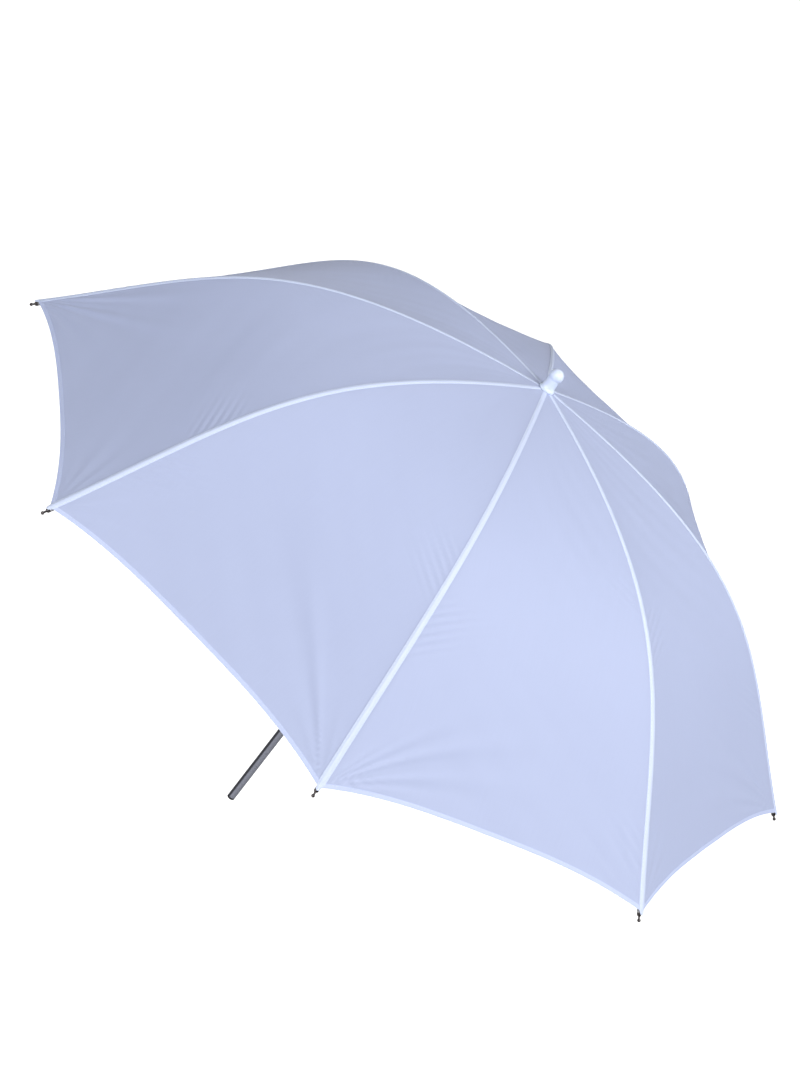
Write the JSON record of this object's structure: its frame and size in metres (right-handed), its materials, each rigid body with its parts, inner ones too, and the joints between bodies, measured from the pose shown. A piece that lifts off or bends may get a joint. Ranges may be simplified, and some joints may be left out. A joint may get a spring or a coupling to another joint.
{
  "type": "umbrella reflector",
  "caption": "Studio photographic umbrella: pale fabric canopy on folding channel ribs and stretchers, with a sliding runner on a thin steel shaft and a ball-ended top cap.",
  "frame": {"origin": "middle of the flat face at the shaft's lower end", "axes": "+Z along the shaft towards the crown and top cap; +X along the first rib"},
  "size_m": [0.8488, 0.8488, 0.5677],
  "materials": {
    "shaft_steel": "satin grey tube",
    "rib_steel": "plain spring steel",
    "steel_wire": "bright wire",
    "dark_steel": "dark turned steel",
    "dark_plastic": "moulded, matte",
    "pale_plastic": "moulded, pale blue-white, satin",
    "canopy_fabric": "thin woven nylon, pale blue-white, lets light through"
  },
  "bodies": {
    "frame": {"shaft": "shaft_steel", "shaft_end_plug": "dark_plastic", "crown_notch": "dark_plastic", "crown_wire": "steel_wire", "crown_pin": "steel_wire", "top_cap": "pale_plastic", "runner_stop": "steel_wire"},
    "runner": {"runner": "dark_plastic", "runner_wire": "steel_wire"},
    "catch": {"catch": "steel_wire"},
    "rib_inner_1": {"rib_inner_1": "rib_steel", "rivet_1": "steel_wire", "canopy_1": "canopy_fabric"},
    "rib_outer_1": {"rib_outer_1": "rib_steel", "rib_tip_1": "dark_steel"},
    "stretcher_1": {"stretcher_1": "rib_steel"},
    "rib_inner_2": {"rib_inner_2": "rib_steel", "rivet_2": "steel_wire", "canopy_2": "canopy_fabric"},
    "rib_outer_2": {"rib_outer_2": "rib_steel", "rib_tip_2": "dark_steel"},
    "stretcher_2": {"stretcher_2": "rib_steel"},
    "rib_inner_3": {"rib_inner_3": "rib_steel", "rivet_3": "steel_wire", "canopy_3": "canopy_fabric"},
    "rib_outer_3": {"rib_outer_3": "rib_steel", "rib_tip_3": "dark_steel"},
    "stretcher_3": {"stretcher_3": "rib_steel"},
    "rib_inner_4": {"rib_inner_4": "rib_steel", "rivet_4": "steel_wire", "canopy_4": "canopy_fabric"},
    "rib_outer_4": {"rib_outer_4": "rib_steel", "rib_tip_4": "dark_steel"},
    "stretcher_4": {"stretcher_4": "rib_steel"},
    "rib_inner_5": {"rib_inner_5": "rib_steel", "rivet_5": "steel_wire", "canopy_5": "canopy_fabric"},
    "rib_outer_5": {"rib_outer_5": "rib_steel", "rib_tip_5": "dark_steel"},
    "stretcher_5": {"stretcher_5": "rib_steel"},
    "rib_inner_6": {"rib_inner_6": "rib_steel", "rivet_6": "steel_wire", "canopy_6": "canopy_fabric"},
    "rib_outer_6": {"rib_outer_6": "rib_steel", "rib_tip_6": "dark_steel"},
    "stretcher_6": {"stretcher_6": "rib_steel"},
    "rib_inner_7": {"rib_inner_7": "rib_steel", "rivet_7": "steel_wire", "canopy_7": "canopy_fabric"},
    "rib_outer_7": {"rib_outer_7": "rib_steel", "rib_tip_7": "dark_steel"},
    "stretcher_7": {"stretcher_7": "rib_steel"},
    "rib_inner_8": {"rib_inner_8": "rib_steel", "rivet_8": "steel_wire", "canopy_8": "canopy_fabric"},
    "rib_outer_8": {"rib_outer_8": "rib_steel", "rib_tip_8": "dark_steel"},
    "stretcher_8": {"stretcher_8": "rib_steel"}
  },
  "joints": [
    {"name": "runner_slide", "type": "slide", "parent": "frame", "child": "runner", "axis": [0, 0, -1], "range_m": [0, 0.29907]},
    {"name": "catch_press", "type": "slide", "parent": "frame", "child": "catch", "axis": [-0.9239, -0.3827, 0], "range_m": [0, 0.0016], "stiffness_N_per_m": 900},
    {"name": "rib_fold_1", "type": "hinge", "parent": "frame", "child": "rib_inner_1", "pos_m": [0.0065, 0, 0.5423], "axis": [0, 1, 0], "range_deg": [0, 73.91], "deforming": ["canopy_1"]},
    {"name": "rib_flex_1", "type": "hinge", "parent": "rib_inner_1", "child": "rib_outer_1", "pos_m": [0.2285, 0, 0.49524], "axis": [0, -1, 0], "range_deg": [0, 24.21]},
    {"name": "stretcher_swing_1", "type": "hinge", "parent": "rib_inner_1", "child": "stretcher_1", "pos_m": [0.21849, 0, 0.49581], "axis": [0, -1, 0], "range_deg": [0, 134.66]},
    {"name": "rib_fold_2", "type": "hinge", "parent": "frame", "child": "rib_inner_2", "pos_m": [0.0046, -0.0046, 0.5423], "axis": [0.7071, 0.7071, 0], "range_deg": [0, 73.91], "deforming": ["canopy_2"]},
    {"name": "rib_flex_2", "type": "hinge", "parent": "rib_inner_2", "child": "rib_outer_2", "pos_m": [0.16157, -0.16157, 0.49524], "axis": [-0.7071, -0.7071, 0], "range_deg": [0, 24.21]},
    {"name": "stretcher_swing_2", "type": "hinge", "parent": "rib_inner_2", "child": "stretcher_2", "pos_m": [0.15449, -0.15449, 0.49581], "axis": [-0.7071, -0.7071, 0], "range_deg": [0, 134.66]},
    {"name": "rib_fold_3", "type": "hinge", "parent": "frame", "child": "rib_inner_3", "pos_m": [0, -0.0065, 0.5423], "axis": [1, 0, 0], "range_deg": [0, 73.91], "deforming": ["canopy_3"]},
    {"name": "rib_flex_3", "type": "hinge", "parent": "rib_inner_3", "child": "rib_outer_3", "pos_m": [0, -0.2285, 0.49524], "axis": [-1, 0, 0], "range_deg": [0, 24.21]},
    {"name": "stretcher_swing_3", "type": "hinge", "parent": "rib_inner_3", "child": "stretcher_3", "pos_m": [0, -0.21849, 0.49581], "axis": [-1, 0, 0], "range_deg": [0, 134.66]},
    {"name": "rib_fold_4", "type": "hinge", "parent": "frame", "child": "rib_inner_4", "pos_m": [-0.0046, -0.0046, 0.5423], "axis": [0.7071, -0.7071, 0], "range_deg": [0, 73.91], "deforming": ["canopy_4"]},
    {"name": "rib_flex_4", "type": "hinge", "parent": "rib_inner_4", "child": "rib_outer_4", "pos_m": [-0.16157, -0.16157, 0.49524], "axis": [-0.7071, 0.7071, 0], "range_deg": [0, 24.21]},
    {"name": "stretcher_swing_4", "type": "hinge", "parent": "rib_inner_4", "child": "stretcher_4", "pos_m": [-0.15449, -0.15449, 0.49581], "axis": [-0.7071, 0.7071, 0], "range_deg": [0, 134.66]},
    {"name": "rib_fold_5", "type": "hinge", "parent": "frame", "child": "rib_inner_5", "pos_m": [-0.0065, 0, 0.5423], "axis": [0, -1, 0], "range_deg": [0, 73.91], "deforming": ["canopy_5"]},
    {"name": "rib_flex_5", "type": "hinge", "parent": "rib_inner_5", "child": "rib_outer_5", "pos_m": [-0.2285, 0, 0.49524], "axis": [0, 1, 0], "range_deg": [0, 24.21]},
    {"name": "stretcher_swing_5", "type": "hinge", "parent": "rib_inner_5", "child": "stretcher_5", "pos_m": [-0.21849, 0, 0.49581], "axis": [0, 1, 0], "range_deg": [0, 134.66]},
    {"name": "rib_fold_6", "type": "hinge", "parent": "frame", "child": "rib_inner_6", "pos_m": [-0.0046, 0.0046, 0.5423], "axis": [-0.7071, -0.7071, 0], "range_deg": [0, 73.91], "deforming": ["canopy_6"]},
    {"name": "rib_flex_6", "type": "hinge", "parent": "rib_inner_6", "child": "rib_outer_6", "pos_m": [-0.16157, 0.16157, 0.49524], "axis": [0.7071, 0.7071, 0], "range_deg": [0, 24.21]},
    {"name": "stretcher_swing_6", "type": "hinge", "parent": "rib_inner_6", "child": "stretcher_6", "pos_m": [-0.15449, 0.15449, 0.49581], "axis": [0.7071, 0.7071, 0], "range_deg": [0, 134.66]},
    {"name": "rib_fold_7", "type": "hinge", "parent": "frame", "child": "rib_inner_7", "pos_m": [0, 0.0065, 0.5423], "axis": [-1, 0, 0], "range_deg": [0, 73.91], "deforming": ["canopy_7"]},
    {"name": "rib_flex_7", "type": "hinge", "parent": "rib_inner_7", "child": "rib_outer_7", "pos_m": [0, 0.2285, 0.49524], "axis": [1, 0, 0], "range_deg": [0, 24.21]},
    {"name": "stretcher_swing_7", "type": "hinge", "parent": "rib_inner_7", "child": "stretcher_7", "pos_m": [0, 0.21849, 0.49581], "axis": [1, 0, 0], "range_deg": [0, 134.66]},
    {"name": "rib_fold_8", "type": "hinge", "parent": "frame", "child": "rib_inner_8", "pos_m": [0.0046, 0.0046, 0.5423], "axis": [-0.7071, 0.7071, 0], "range_deg": [0, 73.91], "deforming": ["canopy_8"]},
    {"name": "rib_flex_8", "type": "hinge", "parent": "rib_inner_8", "child": "rib_outer_8", "pos_m": [0.16157, 0.16157, 0.49524], "axis": [0.7071, -0.7071, 0], "range_deg": [0, 24.21]},
    {"name": "stretcher_swing_8", "type": "hinge", "parent": "rib_inner_8", "child": "stretcher_8", "pos_m": [0.15449, 0.15449, 0.49581], "axis": [0.7071, -0.7071, 0], "range_deg": [0, 134.66]}
  ],
  "couplings": [
    {"joint": "rib_fold_1", "follows": "runner_slide", "rad_per_m": 4.3126},
    {"joint": "rib_flex_1", "follows": "runner_slide", "rad_per_m": 1.4123},
    {"joint": "stretcher_swing_1", "follows": "runner_slide", "rad_per_m": 7.8576},
    {"joint": "rib_fold_2", "follows": "runner_slide", "rad_per_m": 4.3126},
    {"joint": "rib_flex_2", "follows": "runner_slide", "rad_per_m": 1.4123},
    {"joint": "stretcher_swing_2", "follows": "runner_slide", "rad_per_m": 7.8576},
    {"joint": "rib_fold_3", "follows": "runner_slide", "rad_per_m": 4.3126},
    {"joint": "rib_flex_3", "follows": "runner_slide", "rad_per_m": 1.4123},
    {"joint": "stretcher_swing_3", "follows": "runner_slide", "rad_per_m": 7.8576},
    {"joint": "rib_fold_4", "follows": "runner_slide", "rad_per_m": 4.3126},
    {"joint": "rib_flex_4", "follows": "runner_slide", "rad_per_m": 1.4123},
    {"joint": "stretcher_swing_4", "follows": "runner_slide", "rad_per_m": 7.8576},
    {"joint": "rib_fold_5", "follows": "runner_slide", "rad_per_m": 4.3126},
    {"joint": "rib_flex_5", "follows": "runner_slide", "rad_per_m": 1.4123},
    {"joint": "stretcher_swing_5", "follows": "runner_slide", "rad_per_m": 7.8576},
    {"joint": "rib_fold_6", "follows": "runner_slide", "rad_per_m": 4.3126},
    {"joint": "rib_flex_6", "follows": "runner_slide", "rad_per_m": 1.4123},
    {"joint": "stretcher_swing_6", "follows": "runner_slide", "rad_per_m": 7.8576},
    {"joint": "rib_fold_7", "follows": "runner_slide", "rad_per_m": 4.3126},
    {"joint": "rib_flex_7", "follows": "runner_slide", "rad_per_m": 1.4123},
    {"joint": "stretcher_swing_7", "follows": "runner_slide", "rad_per_m": 7.8576},
    {"joint": "rib_fold_8", "follows": "runner_slide", "rad_per_m": 4.3126},
    {"joint": "rib_flex_8", "follows": "runner_slide", "rad_per_m": 1.4123},
    {"joint": "stretcher_swing_8", "follows": "runner_slide", "rad_per_m": 7.8576}
  ]
}
